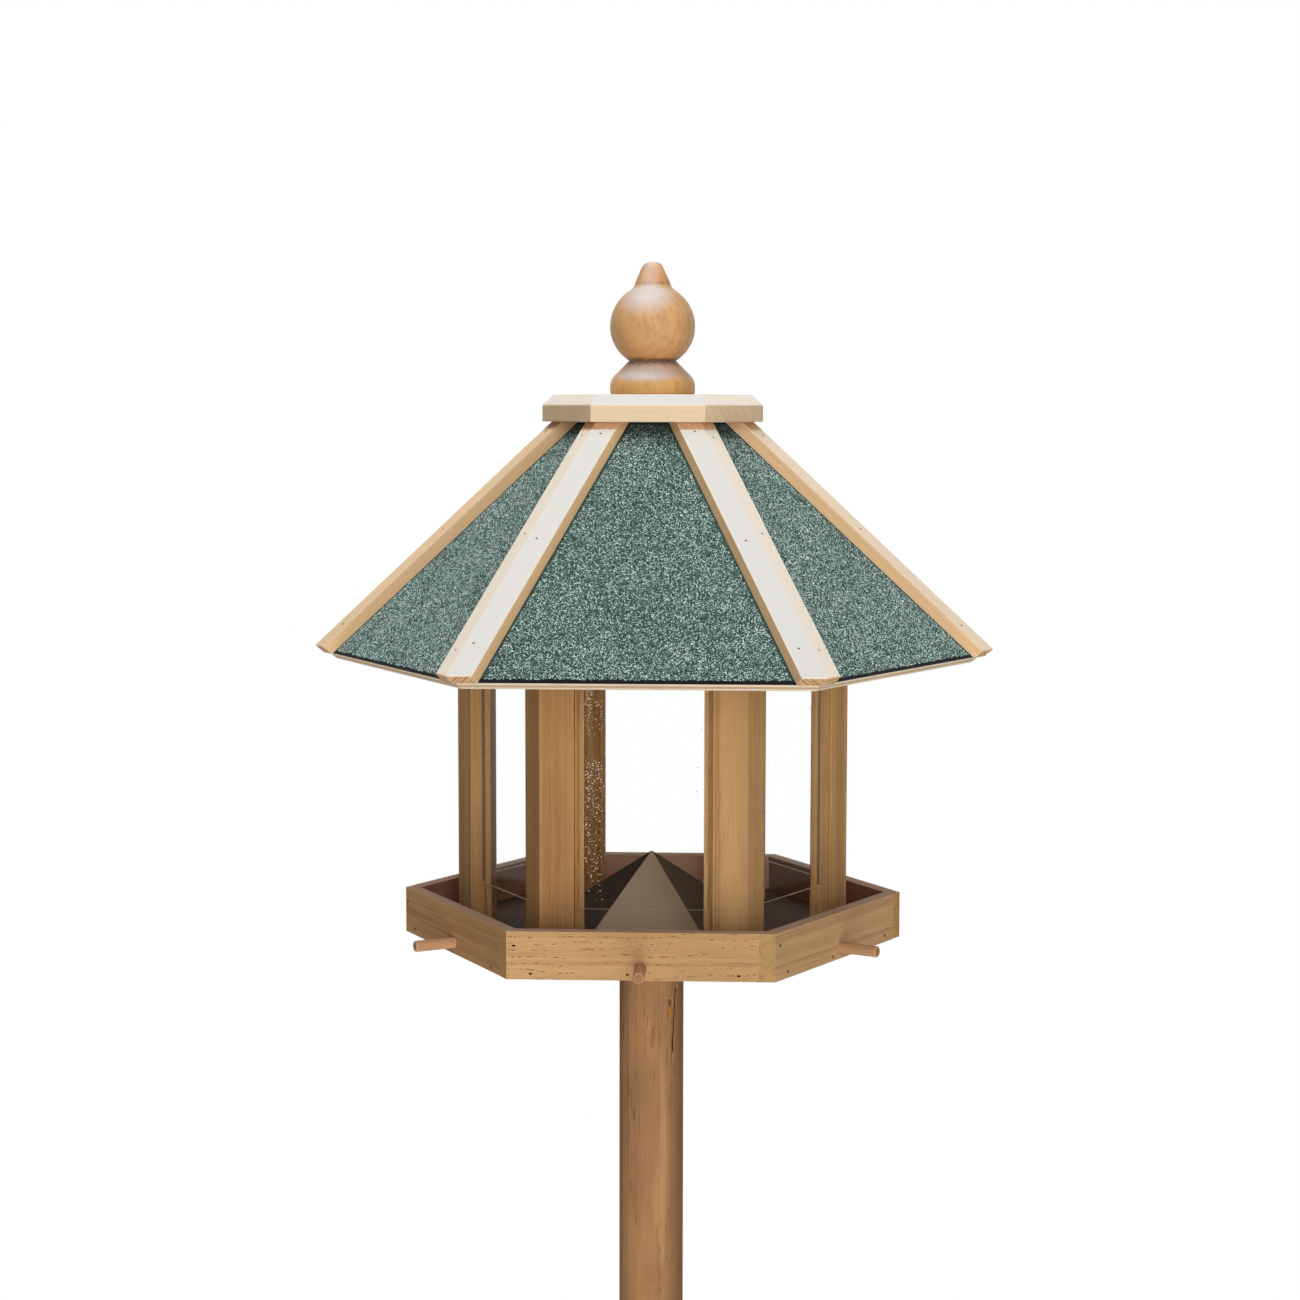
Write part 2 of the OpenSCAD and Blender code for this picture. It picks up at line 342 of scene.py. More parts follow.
# shares say how strongly a tone shows, gaps and the pith's place are in metres
timberBase = {
    "endRing": 0.0, "endCalm": 0.0, "rough": 0.62, "ringGap": 0.0035, "pith": (0.06, 0.03),
    "warp": 0.006, "fibreScale": 800.0, "pale": (205, 165, 115), "dark": (165, 122, 78),
    "pore": (120, 84, 52), "ringShare": 0.7, "fibreShare": 0.12, "cloudShare": 0.12, "dashShare": 0.35,
    "endShare": 0.5, "endTone": (190, 170, 150), "edgeTone": (225, 195, 155), "edgeShare": 0.3,
    "relief": 0.0003, "bleach": 0.0, "gloss": 0.07,
}
postLook = {
    **timberBase, "pale": (197, 154, 103), "dark": (174, 130, 84), "ringGap": 0.007, "warp": 0.003,
    "dashShare": 0.05, "ringShare": 0.5, "pore": (128, 82, 52), "lineScale": 60.0, "lineShare": 0.3,
    "flankTone": (166, 116, 92), "flankShare": 0.55, "edgeTone": (222, 178, 128), "edgeShare": 0.5,
}
# painted light: the rim tops are painted paler as a painted highlight, and the inward faces take the pinkish
# grey they show in the dim light inside the tray
trayLook = {
    **timberBase, "pale": (204, 163, 117), "dark": (178, 134, 92), "ringGap": 0.011, "dashShare": 0.15,
    "ringShare": 0.5, "pith": (0.09, 0.05), "pore": (118, 80, 52), "lineScale": 90.0, "lineShare": 0.3,
    "flankTone": (198, 168, 150), "flankShare": 0.7, "endTone": (232, 230, 210), "endShare": 0.8,
    "endCalm": 0.85, "innerTone": (230, 184, 162), "innerShare": 0.75,
}
frontLook = {
    **trayLook, "pale": (203, 161, 111), "dark": (190, 146, 96), "rowGap": 0.0058, "poreGap": 0.005,
    "pore": (100, 56, 36), "lineShare": 0.1,
}
# painted shade: the inward faces of these boards are painted darker
redLook = {
    **trayLook, "pale": (198, 152, 102), "dark": (166, 120, 78), "innerTone": (148, 110, 94),
    "innerShare": 0.85,
}
# painted shade: the pole's flank tone darkens its left and right sides
poleLook = {
    **timberBase, "pale": (196, 149, 102), "dark": (164, 116, 78), "ringGap": 0.004, "pith": (0.0, 0.0),
    "warp": 0.01, "dashShare": 0.6, "lineScale": 90.0, "lineShare": 0.3, "cloudShare": 0.22,
    "flankTone": (104, 74, 50), "flankShare": 0.55, "crackHalo": (140, 88, 56), "crackCore": (44, 18, 8),
    "resin": (190, 126, 40),
}
perchLook = {**timberBase, "pale": (200, 154, 114), "dark": (168, 122, 88), "ringGap": 0.002}
# painted light: batten faces towards the light are painted cream and near white, and the side faces a darker
# tan
battenLook = {
    **timberBase, "pale": (240, 205, 160), "dark": (222, 180, 130), "pore": (150, 104, 66),
    "ringShare": 0.5, "dashShare": 0.1, "endTone": (232, 216, 200), "endShare": 0.9, "endRing": 0.75,
    "ringGap": 0.004, "pith": (0.02, 0.05), "edgeTone": (240, 222, 196), "fibreShare": 0.05,
    "cloudShare": 0.07, "relief": 0.0001, "flankTone": (214, 170, 122), "flankShare": 0.55, "gloss": 0.15,
    "bleach": 0.95, "bleached": (216, 213, 207), "cream": (248, 238, 222),
}
# painted shadow of the cap: a darker strip on the batten tops that fades out between two drops below the cap
capShadow = {"kept": (198, 142, 102), "keptShare": 0.55, "keptBelowCap": (0.0085, 0.0055), "keptStreak": 0.005}
# painted highlight: the cap's faces towards the light are painted pale as well
capLook = {
    **battenLook, "pale": (240, 212, 176), "dark": (226, 194, 156), "ringShare": 0.4,
    "endTone": (246, 236, 218), "endShare": 0.3, "ringGap": 0.005, "pith": (-0.11, -0.03),
    "flankTone": (236, 208, 172), "flankShare": 0.4, "bleach": 1.0, "endRing": 0.08,
}
# painted highlight: the finial's faces towards the overhead light are painted a pale grey
finialLook = {
    **timberBase, "pale": (220, 170, 110), "dark": (180, 124, 72), "ringGap": 0.008, "rough": 0.42,
    "relief": 0.0001, "ringShare": 0.6, "pith": (0.03, 0.05), "gloss": 0.3, "cloudShare": 0.3,
    "dashShare": 0.5, "pore": (140, 90, 46), "endShare": 0.0, "blotchShare": 0.2, "neckAt": 0.25,
    "neckTone": (84, 52, 32), "bleach": 0.85, "bleached": (208, 199, 195), "bandHeight": 0.1205,
    "bandShare": 0.5,
    "bands": [
        (0.0, (226, 172, 96)), (0.1, (224, 170, 98)), (0.125, (220, 178, 152)), (0.205, (208, 162, 132)),
        (0.235, (120, 76, 48)), (0.262, (86, 52, 30)), (0.285, (200, 138, 88)), (0.42, (208, 158, 106)),
        (0.825, (216, 172, 122)), (0.838, (150, 88, 52)), (0.852, (214, 150, 110)), (0.92, (228, 168, 124)),
        (1.0, (226, 186, 154)),
    ],
}
# painted light: the pyramid's lit faces are painted a pale grey-brown, its shaded faces stay dark
spreaderLook = {
    **timberBase, "pale": (68, 54, 46), "dark": (58, 46, 40), "ringGap": 0.03, "ringShare": 0.4,
    "dashShare": 0.2, "pore": (60, 45, 35), "fibreShare": 0.08, "bleach": 1.0, "bleached": (190, 171, 147),
}

postWood = makeTimber("postWood", postLook)
shadedPostWood = makeTimber("shadedPostWood", {**postLook, "pale": (184, 138, 88), "dark": (162, 116, 72)})
trayWood = makeTimber("trayWood", trayLook)
frontWood = makeTimber("frontWood", frontLook)
redWood = makeTimber("redWood", redLook)
poleWood = makeTimber("poleWood", poleLook)
perchWood = makeTimber("perchWood", perchLook)
battenWood = makeTimber("battenWood", {**battenLook, **capShadow})
capWood = makeTimber("capWood", capLook)
finialWood = makeTimber("finialWood", finialLook)
spreaderWood = makeTimber("spreaderWood", spreaderLook)

# plywood: thin layers whose grain turns crosswise, so every second one shows its end
roofPly = {
    **timberBase, "layer": 0.00283, "pale": (250, 234, 206), "dark": (228, 204, 168),
    "cross": (204, 172, 142), "ringGap": 0.02, "pith": (0.3, 0.5), "dashShare": 0.2, "relief": 0.0002,
}
trayPly = {
    **roofPly, "pale": (86, 64, 50), "dark": (70, 50, 39), "cross": (60, 44, 34), "pore": (36, 26, 20),
}


def makePlywood(name, look):
    material, w, shader = newMaterial(name, roughness=0.7)
    grain = w.attribute("grain")
    colour, relief = timberColour(w, look, grain)[:2]
    layer = w.math("FLOOR", w.over(w.split(grain)[2], look["layer"]))
    colour = w.stain(w.math("PINGPONG", layer, 1.0), w.mask("plyEdge"), colour, look["cross"])
    w.coat(shader, colour, relief, look["relief"])
    return material


plyWood = makePlywood("plyWood", roofPly)
stainedPly = makePlywood("stainedPly", trayPly)
print("finishes made")


# degrees: faces closer than the first are one face, edges sharper than the second are rounded
faceAngles = {"same": 1.0, "sharp": 20.0}
# how squarely a face must look a way to count as end grain, sawn edge, flank, inside or a roof slope, and
# the range over which a face goes from unlit to fully painted as lit
faceKinds = {"end": 0.75, "layer": 0.8, "flank": 0.9, "inside": 0.3, "sun": (0.5, 0.94), "slope": 0.995}


def within(value, low, high):
    # how far a value has come from low to high, kept between 0 and 1
    return min(1.0, max(0.0, (value - low) / (high - low)))


def solidCopy(node, name, edgeWidth):
    # a copy of a frame solid with whole faces and small rounded edges
    mesh = bmesh.new()
    mesh.from_mesh(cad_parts[node].data)
    bmesh.ops.remove_doubles(mesh, verts=mesh.verts, dist=1e-6)
    same, sharp = math.radians(faceAngles["same"]), math.radians(faceAngles["sharp"])
    bmesh.ops.dissolve_limit(mesh, angle_limit=same, verts=mesh.verts, edges=mesh.edges)
    mark = mesh.faces.layers.float.new("edge")
    if edgeWidth:
        rounded = bmesh.ops.bevel(
            mesh, geom=[e for e in mesh.edges if len(e.link_faces) == 2 and e.calc_face_angle(0) > sharp],
            offset=edgeWidth, segments=2, profile=0.6, affect="EDGES", clamp_overlap=True, loop_slide=True,
        )
        for face in rounded["faces"]:
            face[mark] = 1.0
    data = bpy.data.meshes.new(name)
    mesh.to_mesh(data)
    mesh.free()
    return newObject(name, data)


def writeMask(data, name, values, domain="FACE"):
    data.attributes.new(name, "FLOAT", domain)
    data.attributes[name].data.foreach_set("value", values)


def stampGrain(obj, axesOf, offset=zero, bleach=1.0):
    # writes each corner's place along, across and into the timber, and what kind of surface a face is
    data = obj.data
    places, masks = [], {name: [] for name in ("endGrain", "plyEdge", "flank", "paintedLightMask", "inner")}
    for face in data.polygons:
        along, across, origin = axesOf(face)
        depth, facing = along.cross(across), face.normal.dot
        out = Vector((face.center.x, face.center.y, 0)).normalized()
        masks["endGrain"].append(float(abs(facing(along)) > faceKinds["end"]))
        masks["plyEdge"].append(float(abs(facing(depth)) < faceKinds["layer"]))
        masks["flank"].append(float(abs(facing(across)) > faceKinds["flank"]))
        masks["inner"].append(float(facing(out) < -faceKinds["inside"]))
        # painted light: how fully a face is painted as lit, by how squarely it faces the light
        masks["paintedLightMask"].append(bleach * within(facing(paintedLightWay), *faceKinds["sun"]))
        for corner in face.loop_indices:
            place = data.vertices[data.loops[corner].vertex_index].co - origin
            places.extend(Vector((place.dot(along), place.dot(across), place.dot(depth))) + offset)
    data.attributes.new("grain", "FLOAT_VECTOR", "CORNER")
    data.attributes["grain"].data.foreach_set("vector", places)
    for name, values in masks.items():
        writeMask(data, name, values)


def wayAt(turn):
    # the level direction so many sixths of a turn round from the feeder's right
    return Vector((math.cos(turn * sideAngle), math.sin(turn * sideAngle), 0))


def sideAxes(side):
    # directions of one side: along the tray board, and outwards
    along = wayAt(side - 1)
    return along, along.cross(upAxis)


def cornerWay(corner):
    return wayAt(corner - 2)


def cornerTangent(corner):
    return upAxis.cross(cornerWay(corner))


def middle(node):
    low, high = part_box(node)
    return (low + high) / 2


def axesAt(along, across, node):
    # one grain direction for a whole piece, measured from the piece's middle
    centre = middle(node)
    return lambda face: (along, across, centre)


def dress(node, name, material, edgeWidth, axesOf, body="feeder", offset=zero, smooth=False,
          bleach=1.0):
    obj = solidCopy(node, name, edgeWidth)
    stampGrain(obj, axesOf, offset, bleach)
    obj.data.materials.append(material)
    if smooth:
        obj.data.shade_smooth()
    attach(obj, body)
    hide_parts(node)
    return obj


# a shift moves each next piece along and across the timber, so that no two show the same figure
trayParts = {"edge": 0.0008, "shift": (0.37, 0.003, 0), "floorEdge": 0.0004}
perchParts = {"edge": 0.0006, "pith": 0.2}
pyramidParts = {"edge": 0.0006, "top": 0.95}

# the tray: six boards that lap at the corners, a stained floor, dowel perches and the pyramid
for side in sides:
    node = f"tray_board_{side}"
    wood = {1: frontWood, 3: redWood, 5: redWood, 6: redWood}.get(side, trayWood)
    dress(node, f"trayBoard{side}", wood, trayParts["edge"], axesAt(sideAxes(side)[0], upAxis, node),
          offset=Vector(trayParts["shift"]) * side)
dress("tray_floor", "trayFloor", stainedPly, trayParts["floorEdge"], axesAt(flat, deep, "tray_floor"))


perchLevel = upAxis * middle("perches").z


def perchAxes(face):
    turn = round(math.atan2(face.center.y, face.center.x) / sideAngle - 0.5) + 0.5
    return wayAt(turn), upAxis, wayAt(turn) * perchParts["pith"] + perchLevel


def facetAxes(face):
    # grain runs level across each sloping face of the pyramid
    if abs(face.normal.z) > pyramidParts["top"]:
        return flat, deep, zero
    across = face.normal.cross(upAxis).normalized()
    return across, face.normal.cross(across).normalized(), upAxis * rimZ


dress("perches", "perchDowels", perchWood, perchParts["edge"], perchAxes)
facetPaintedLight = {1: 1.0, 2: 0.2, 3: 0.55, 4: 0.8, 5: 0.5, 6: 0.0}  # painted light: how lit each face of the pyramid is painted, 1 fully lit as the front face, 0 in shade as the front-left one
pyramid = dress("seed_pyramid", "seedPyramid", spreaderWood, pyramidParts["edge"], facetAxes)
facing = [round(math.atan2(f.normal.x, -f.normal.y) / sideAngle) % 6 + 1 for f in pyramid.data.polygons]
pyramid.data.attributes["paintedLightMask"].data.foreach_set("value", [facetPaintedLight[side] for side in facing])
print("tray made")

# the posts at the corners; the front-left one gets a darker copy of the post wood, a painted shade
postParts = {"edge": 0.0007, "shift": (0.61, 0.004, 0)}
for corner in sides:
    node = f"post_{corner}"
    wood = shadedPostWood if corner == 6 else postWood
    dress(node, f"cornerPost{corner}", wood, postParts["edge"], axesAt(upAxis, cornerTangent(corner), node),
          offset=Vector(postParts["shift"]) * corner)

# the pole, with a seasoning crack below the tray, and a torn hollow and a bead of resin beside it;
# places are given as the drop below the tray and the turn in degrees
poleParts = {
    "edge": 0.0015, "fineTurns": (-95, -25), "fineTurn": 0.9, "turn": 4.0, "plainRows": 12,
    "fineRow": 0.0009, "fineDrop": 0.124, "haloHalf": 0.0042, "sway": 0.5, "hollowTone": 0.79,
    "rightDark": (0.45, 0.9), "leftDark": (0.85, 1.25),
}
grooves = [
    {"top": (0.043, -36.6), "foot": (0.119, -48.0), "half": 0.0014, "depth": 0.0028, "taper": 0.35,
     "tone": 1.0},
    {"top": (0.002, -33.0), "foot": (0.045, -37.0), "half": 0.0009, "depth": 0.0009, "taper": 0.5,
     "tone": 0.78},
    {"top": (0.079, -83.0), "foot": (0.106, -87.6), "half": 0.001, "depth": 0.0005, "taper": 0.5,
     "tone": 0.7},
]
hollow = {"drop": 0.0597, "turn": -50.8, "high": 0.0045, "wide": 0.0027, "depth": 0.0012}
bead = {"drop": 0.0698, "turn": -51.0, "high": 0.0058, "wide": 0.0022, "depth": -0.0007}


def poleSurface(turn, drop, radius):
    # how deep the surface lies here, how close a crack is, and how much resin covers it
    depth, crack = 0.0, 0.0
    for line in grooves:
        (topDrop, topTurn), (footDrop, footTurn) = line["top"], line["foot"]
        share = (drop - topDrop) / (footDrop - topDrop)
        if 0 < share < 1:
            centre = topTurn + (footTurn - topTurn) * share + poleParts["sway"] * math.sin(25 * share)
            away = abs(math.radians(turn - centre)) * radius
            gape = min(1.0, 8 * share, (1 - share) / line["taper"])
            halo = max(0.0, 1 - away / poleParts["haloHalf"])
            depth = max(depth, line["depth"] * gape * max(0.0, 1 - away / line["half"]))
            crack = max(crack, line["tone"] * min(1.0, 2 * gape) * halo)
    spots = []
    for spot in (hollow, bead):
        across = math.radians(turn - spot["turn"]) * radius / spot["wide"]
        spots.append(max(0.0, 1 - across ** 2 - ((drop - spot["drop"]) / spot["high"]) ** 2))
        depth += spot["depth"] * math.sqrt(spots[-1])
    return depth, max(crack, poleParts["hollowTone"] * min(1.0, 2 * spots[0])), min(1.0, 2 * spots[1])


def steps(low, high, step, more=0):
    # places from low up towards high, with so many more at the end
    return [low + step * k for k in range(int((high - low) / step) + more)]


def makePole():
    low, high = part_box("pole")
    radius, edge, fineDrop, plain = high.x, poleParts["edge"], poleParts["fineDrop"], poleParts["plainRows"]
    fineLow, fineHigh = poleParts["fineTurns"]
    turns = steps(fineLow, fineHigh, poleParts["fineTurn"])
    turns += steps(fineHigh, 360 + fineLow, poleParts["turn"], 1)
    rings = [(low.z, edge), (low.z + edge * 0.3, edge * 0.3)]
    rings += [(low.z + edge + (high.z - fineDrop - edge) * k / plain, 0.0) for k in range(plain)]
    rows = int(fineDrop / poleParts["fineRow"])
    rings += [(high.z - fineDrop * (1 - k / rows), 0.0) for k in range(rows + 1)]
    points, faces, cracks, resins = [], [], [], []
    for height, inset in rings:
        for turn in turns:
            depth, crack, resin = poleSurface(turn, high.z - height, radius)
            reach, angle = radius - inset - depth, math.radians(turn)
            points.append((reach * math.cos(angle), reach * math.sin(angle), height))
            cracks.append(crack)
            resins.append(resin)
    count = len(turns)
    for ring in range(len(rings) - 1):
        for k in range(count):
            here, there = ring * count + k, ring * count + (k + 1) % count
            faces.append((here, there, there + count, here + count))
    faces.append(tuple(reversed(range(count))))
    faces.append(tuple(range(len(points) - count, len(points))))
    data = bpy.data.meshes.new("pole")
    data.from_pydata(points, [], faces)
    obj = newObject("pole", data)
    stampGrain(obj, lambda face: (upAxis, flat, zero))
    # painted shade: faces turned to the right or the left are painted darker, as the pole's shaded sides
    right = [face.normal.x for face in data.polygons]
    darker = [max(within(x, *poleParts["rightDark"]), within(-x, *poleParts["leftDark"])) for x in right]
    data.attributes["flank"].data.foreach_set("value", darker)
    writeMask(data, "crack", cracks, "POINT")
    writeMask(data, "resin", resins, "POINT")
    data.polygons.foreach_set("use_smooth", [True] * (len(faces) - 2) + [False] * 2)
    data.materials.append(poleWood)
    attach(obj, "feeder")
    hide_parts("pole")


makePole()

# the roof boards, and the battens over their hips
roofParts = {"edge": 0.0004, "shift": 0.5, "layerStart": 0.0001}
battenParts = {"edge": 0.0009, "shift": (0.43, 0.007, 0)}
battenPaintedLight = {1: 1.0, 2: 0.5, 3: 0.4, 4: 0.5, 5: 0.4, 6: 1.0}  # how much painted highlight each batten gets: full on the two front battens
slopeOut = {}  # which way the roof faces on each side
hipWay = {}  # which way each hip batten runs, downhill
for side in sides:
    along, outward = sideAxes(side)
    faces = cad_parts[f"roof_felt_{side}"].data.polygons
    out = max(faces, key=lambda face: face.normal.z + face.normal.dot(outward)).normal.copy()
    slopeOut[side] = out
    node = f"roof_panel_{side}"
    axes = (along, out.cross(along), out * min(v.co.dot(out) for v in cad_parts[node].data.vertices))
    dress(node, f"roofBoard{side}", plyWood, roofParts["edge"], lambda face: axes,
          offset=Vector((side * roofParts["shift"], 0, roofParts["layerStart"])))
for corner in sides:
    run = slopeOut[corner].cross(slopeOut[corner % 6 + 1]).normalized()
    hipWay[corner] = run if run.z < 0 else -run
    node = f"hip_batten_{corner}"
    dress(node, f"hipBatten{corner}", battenWood, battenParts["edge"],
          axesAt(hipWay[corner], cornerTangent(corner), node),
          offset=Vector(battenParts["shift"]) * corner, bleach=battenPaintedLight[corner])
print("posts and roof made")

capParts = {"edge": 0.0009, "blockEdge": 0.0005}
# the finial's heights are measured up from the cap's top face
finialParts = {
    "knobFoot": 0.0995, "knobTop": 0.1205, "swell": 0.001, "core": 0.002, "knobShine": 0.6,
    "shineFoot": 0.1005, "neck": 0.0295, "neckHalf": 0.007, "shineWay": (-0.12, -0.6, 0.8),
    "shine": (0.74, 0.97),
}
capAxes = (flat, deep, upAxis * capLow.z)
finialAxes = (upAxis, flat, upAxis * capHigh.z)
dress("roof_cap", "roofCap", capWood, capParts["edge"], lambda face: capAxes, body="lid")
dress("cap_block", "capBlock", plyWood, capParts["blockEdge"], lambda face: capAxes, body="lid")
finial = dress("finial", "finial", finialWood, 0.0, lambda face: finialAxes, body="lid",
               smooth=True)


def swellKnob(obj):
    # rounds the straight flanks of the knob a little, as a hand sander does
    long = finialParts["knobTop"] - finialParts["knobFoot"]
    for v in obj.data.vertices:
        rise = (v.co.z - capHigh.z - finialParts["knobFoot"]) / long
        if 0 < rise < 1 and v.co.xy.length > finialParts["core"]:
            wider = 1 + finialParts["swell"] * math.sin(math.pi * rise) / v.co.xy.length
            v.co = Vector((v.co.x * wider, v.co.y * wider, v.co.z))


def stampPaintedHighlight(obj):
    # painted highlight: pale where the surface faces the overhead light, less on the knob and fading out
    # towards the neck
    data, way = obj.data, Vector(finialParts["shineWay"]).normalized()
    shine = []
    for v in data.vertices:
        rise = v.co.z - capHigh.z
        worn = within(v.normal.dot(way), *finialParts["shine"])
        worn *= finialParts["knobShine"] if rise > finialParts["shineFoot"] else 1.0
        shine.append(worn * min(1.0, abs(rise - finialParts["neck"]) / finialParts["neckHalf"]))
    data.attributes.remove(data.attributes["paintedLightMask"])
    writeMask(data, "paintedLightMask", shine, "POINT")


swellKnob(finial)
stampPaintedHighlight(finial)
print("cap and finial made")


def newPieceTree(name, inputs):
    return newTree("GeometryNodeTree", name, {"mesh": ["Geometry"], **inputs, "finish": ["Finish"]},
                   {"mesh": ["Geometry"]})


def randomNumber(w, seed, low=0.0, high=1.0):
    # sockets 2 and 3 are the least and the most
    node = w.node("FunctionNodeRandomValue", {2: low, 3: high, "Seed": seed}, data_type="FLOAT")
    return node.outputs[1]


def endTree(w, copies, finish, out):
    # makes the copies real, as one mesh with its finish
    real = w.node("GeometryNodeRealizeInstances", {"Geometry": copies.outputs[0]})
    done = w.node("GeometryNodeSetMaterial", {"Geometry": real.outputs[0], "Material": finish})
    w.plug(done.outputs[0], out)
    return w.tree


def settle(holder, tree, values, name):
    # runs a tree on a holder mesh and keeps the result as a plain mesh
    modifier = holder.modifiers.new(name, "NODES")
    modifier.node_group = tree
    for item in tree.interface.items_tree:
        if item.in_out == "INPUT" and item.name in values:
            modifier[item.identifier] = values[item.name]
    bpy.context.view_layer.update()
    shown = holder.evaluated_get(bpy.context.evaluated_depsgraph_get())
    data = bpy.data.meshes.new_from_object(shown)
    bpy.data.objects.remove(holder)
    return newObject(name, data)


def holderMesh(name, points, faces, normals=None):
    data = bpy.data.meshes.new(name)
    data.from_pydata(points, [], faces)
    if normals:
        aims = data.attributes.new("aim", "FLOAT_VECTOR", "POINT")
        for index, normal in enumerate(normals):
            aims.data[index].vector = normal
    return newObject(name, data)


# stone grains bedded in the roof felt, each a small six-sided chip; chip is its radius
feltParts = {
    "chip": 0.00118, "flat": 0.42, "wide": (1.15, 0.75), "sizes": (0.55, 1.25), "tilt": 0.35,
    "sizeSeed": 7, "toneSeed": 11, "apart": 0.00106, "perArea": 1.2e6, "bareShadowStrip": 0.0017, "bareFoot": 0.002,
    "bareHead": 0.0025, "sink": 0.0001, "capShadowOnFelt": (0.019, 0.007), "capShadowOnFeltShare": 0.72,
    "bitumen": (0.0032, 0.0045),
}


def makeGrainTree():
    w, ins, outs = newPieceTree("stoneGrains", {"number": ["Chip", "Flat", "Apart"], "count": ["Seed"]})
    spots = w.node("GeometryNodeDistributePointsOnFaces",
                   {"Mesh": ins["Geometry"], "Distance Min": ins["Apart"], "Seed": ins["Seed"],
                    "Density Max": feltParts["perArea"]}, distribute_method="POISSON").outputs
    shape = w.node("GeometryNodeMeshUVSphere", {"Segments": 3, "Rings": 2, "Radius": ins["Chip"]})
    squash = w.join(*feltParts["wide"], ins["Flat"])
    chip = w.node("GeometryNodeTransform", {"Geometry": shape.outputs["Mesh"], "Scale": squash}).outputs[0]
    tilt = Vector((feltParts["tilt"], feltParts["tilt"], 3.1416))
    turn = w.node("FunctionNodeRandomValue", {"Min": -tilt, "Max": tilt, "Seed": ins["Seed"]},
                  data_type="FLOAT_VECTOR")
    turned = w.node("FunctionNodeRotateEuler", {"Rotation": spots["Rotation"], "Rotate By": turn.outputs[0]},
                    space="LOCAL").outputs[0]
    grains = w.node("GeometryNodeInstanceOnPoints",
                    {"Points": spots["Points"], "Instance": chip, "Rotation": turned,
                     "Scale": randomNumber(w, feltParts["sizeSeed"], *feltParts["sizes"])})
    tone = randomNumber(w, feltParts["toneSeed"])
    named = w.node("GeometryNodeStoreNamedAttribute",
                   {"Geometry": grains.outputs[0], "Name": "tone", "Value": tone},
                   data_type="FLOAT", domain="INSTANCE")
    return endTree(w, named, ins["Finish"], outs[0])


def shaded(w, colour):
    # painted shadow: the felt and its grains just below the cap are painted darker, where the cap's shadow
    # falls
    low, high = feltParts["capShadowOnFelt"]
    feltCapShadow = w.ramp(w.split(w.place())[2], capLow.z - low, capLow.z - high, 0.0, feltParts["capShadowOnFeltShare"])
    return w.blend(feltCapShadow, colour, (18, 30, 28))


def makeGrainFinish():
    material, w, shader = newMaterial("stoneGrain", 0.5, 1.5)
    patch = w.times(w.minus(w.noise(w.place(), 26.0, 3.0, 0.6), 0.5), 0.5)
    tone = w.plus(w.mask("tone"), patch, clamp=True)
    stops = [(0.0, (54, 76, 71)), (0.16, (110, 140, 132)), (0.5, (166, 194, 185)), (0.8, (208, 229, 221)),
             (1.0, (230, 240, 235))]
    w.plug(shaded(w, toneRamp(w, tone, stops)), shader.inputs["Base Color"])
    return material


def makeFeltFinish():
    material, w, shader = newMaterial("feltBody", 0.9)
    place = w.place()
    grit = w.noise(place, 700.0, 3.0, 0.6)
    colour = w.blend(w.ramp(grit, 0.4, 0.65), (36, 54, 51), (70, 98, 90))
    foot, (low, high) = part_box("roof_felt_1")[0].z, feltParts["bitumen"]
    bitumen = w.ramp(w.split(place)[2], foot + low, foot + high, 1.0, 0.0)
    w.coat(shader, w.blend(bitumen, shaded(w, colour), (16, 16, 20)), grit, 0.0006)
    return material


def clipped(outline, way, limit):
    # the part of a flat outline that lies less than limit along a direction
    kept = []
    for here, there in zip(outline, outline[1:] + outline[:1]):
        past, pastNext = here.dot(way) - limit, there.dot(way) - limit
        if past <= 0:
            kept.append(here)
        if past * pastNext < 0:
            kept.append(here.lerp(there, past / (past - pastNext)))
    return kept


def coverFelt():
    tree, grainStone, feltDark = makeGrainTree(), makeGrainFinish(), makeFeltFinish()
    battenHalf = max(v.co.dot(cornerTangent(1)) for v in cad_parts["hip_batten_1"].data.vertices)
    # painted shadow: grains stop short of each batten, so a strip of bare dark felt shows beside it as the
    # shadow gap under the batten's edge
    bareShadowStrip = battenHalf + feltParts["bareShadowStrip"]
    for side in sides:
        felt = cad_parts[f"roof_felt_{side}"]
        felt.data.materials.clear()
        felt.data.materials.append(feltDark)
        out = slopeOut[side]
        down = sideAxes(side)[0].cross(out)
        down = down if down.z < 0 else -down
        outlines = [[felt.data.vertices[v].co - out * feltParts["sink"] for v in face.vertices]
                    for face in felt.data.polygons if face.normal.dot(out) > faceKinds["slope"]]
        foot = max(point.dot(down) for outline in outlines for point in outline) - feltParts["bareFoot"]
        # the grains stop short of the cap, which lies close above the felt
        head = max(-point.dot(down) for outline in outlines for point in outline) - feltParts["bareHead"]
        points, faces = [], []
        for outline in outlines:
            for way, limit in ((cornerTangent(side), -bareShadowStrip), (-cornerTangent(side - 1), -bareShadowStrip),
                               (down, foot), (-down, head)):
                outline = clipped(outline, way, limit)
            if len(outline) > 2:
                faces.append(range(len(points), len(points) + len(outline)))
                points += outline
        holder = holderMesh(f"feltTop{side}", points, faces)
        piece = settle(holder, tree, {
            "Chip": feltParts["chip"], "Flat": feltParts["flat"], "Apart": feltParts["apart"],
            "Seed": side, "Finish": grainStone,
        }, f"stoneGrains{side}")
        print("grains on side", side, len(piece.data.polygons))
        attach(piece, "feeder")


coverFelt()
print("stone grains laid")

